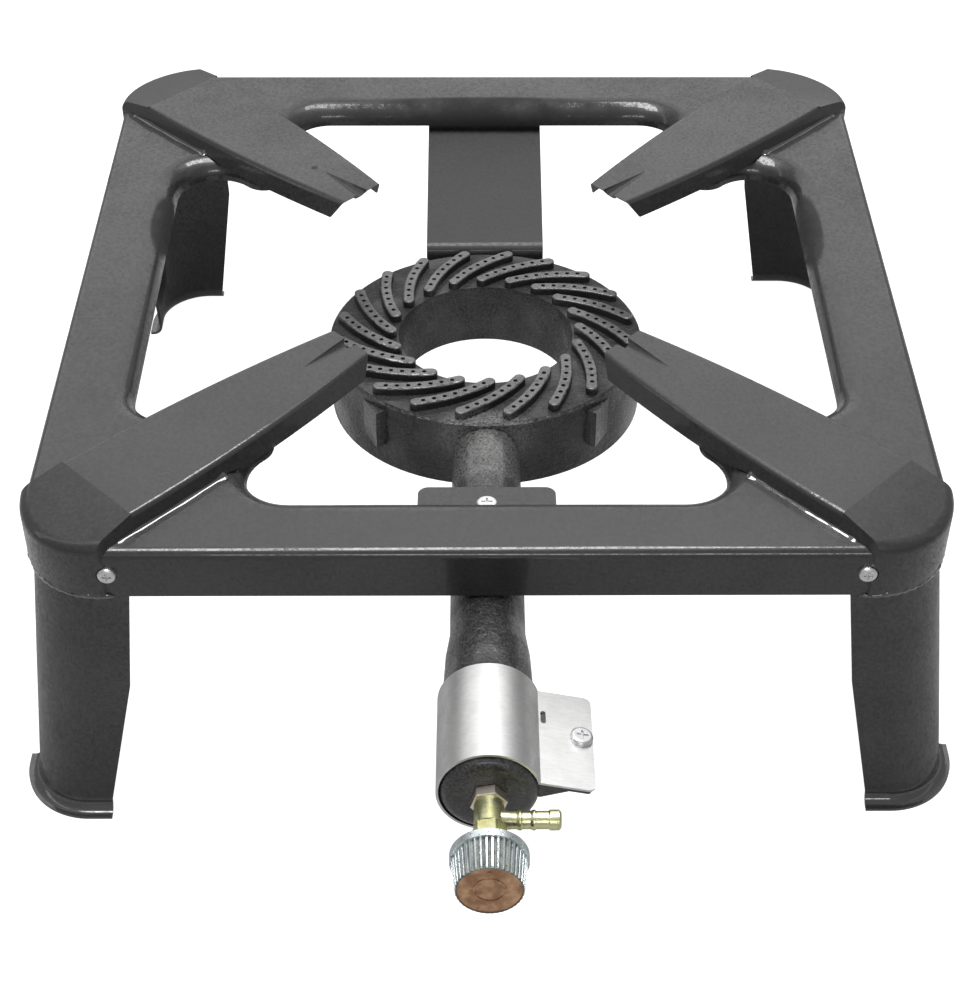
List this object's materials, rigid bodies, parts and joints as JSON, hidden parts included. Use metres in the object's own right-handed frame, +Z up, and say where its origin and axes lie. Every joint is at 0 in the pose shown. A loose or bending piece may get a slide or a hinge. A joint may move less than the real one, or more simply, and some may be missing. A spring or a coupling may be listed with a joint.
{
  "type": "gas burner stove",
  "caption": "Low square gas burner stove with bent sheet legs, four pan arms, a cast ring burner, air shutter and brass needle valve.",
  "frame": {"origin": "on the ground under the centre of the square frame", "axes": "+Z up, +X towards the hose barb's side, -Y out of the valve knob (front)"},
  "size_m": [0.4368, 0.5672, 0.161],
  "materials": {
    "black_enamel": "glossy enamel",
    "black_strip": "satin enamel",
    "cast_black": "rough cast, painted",
    "zinc_steel": "bright zinc",
    "bright_band": "bright rolled",
    "pale_brass": "turned",
    "plated_nut": "turned",
    "packing": "matt",
    "spindle_steel": "ground",
    "knob_metal": "plated casting",
    "knob_face": "satin brown"
  },
  "bodies": {
    "stove": {"frame_ring": "black_enamel", "pan_arm_front_left": "black_enamel", "pan_arm_front_right": "black_enamel", "pan_arm_rear_left": "black_enamel", "pan_arm_rear_right": "black_enamel", "leg_front_left": "black_enamel", "leg_front_right": "black_enamel", "leg_rear_left": "black_enamel", "leg_rear_right": "black_enamel", "leg_screws": "zinc_steel", "leg_nuts": "zinc_steel", "rear_burner_strap": "black_strip", "front_burner_strap": "black_strip", "strap_screws": "zinc_steel", "burner_casting": "cast_black", "injector_jet": "pale_brass", "valve_locknut": "plated_nut", "valve_body": "pale_brass", "hose_barb": "pale_brass", "gland_nut": "pale_brass", "gland_packing": "packing"},
    "needle": {"needle_spindle": "spindle_steel"},
    "knob": {"knob_shell": "knob_metal", "knob_face": "knob_face"},
    "shutter": {"air_shutter_band": "bright_band", "shutter_screw": "zinc_steel", "shutter_nut": "zinc_steel"}
  },
  "joints": [
    {"name": "needle_travel", "type": "slide", "parent": "stove", "child": "needle", "axis": [0, -0.9981, 0.061], "range_m": [0, 0.0015]},
    {"name": "knob_turn", "type": "hinge", "parent": "needle", "child": "knob", "pos_m": [0, -0.34053, 0.11979], "axis": [0, -0.9981, 0.061], "range_deg": [0, 540]},
    {"name": "air_shutter_slide", "type": "slide", "parent": "stove", "child": "shutter", "axis": [0, 0.9981, -0.061], "range_m": [0, 0.012]}
  ],
  "couplings": [
    {"joint": "needle_travel", "follows": "knob_turn", "m_per_rad": 0.00015915}
  ]
}
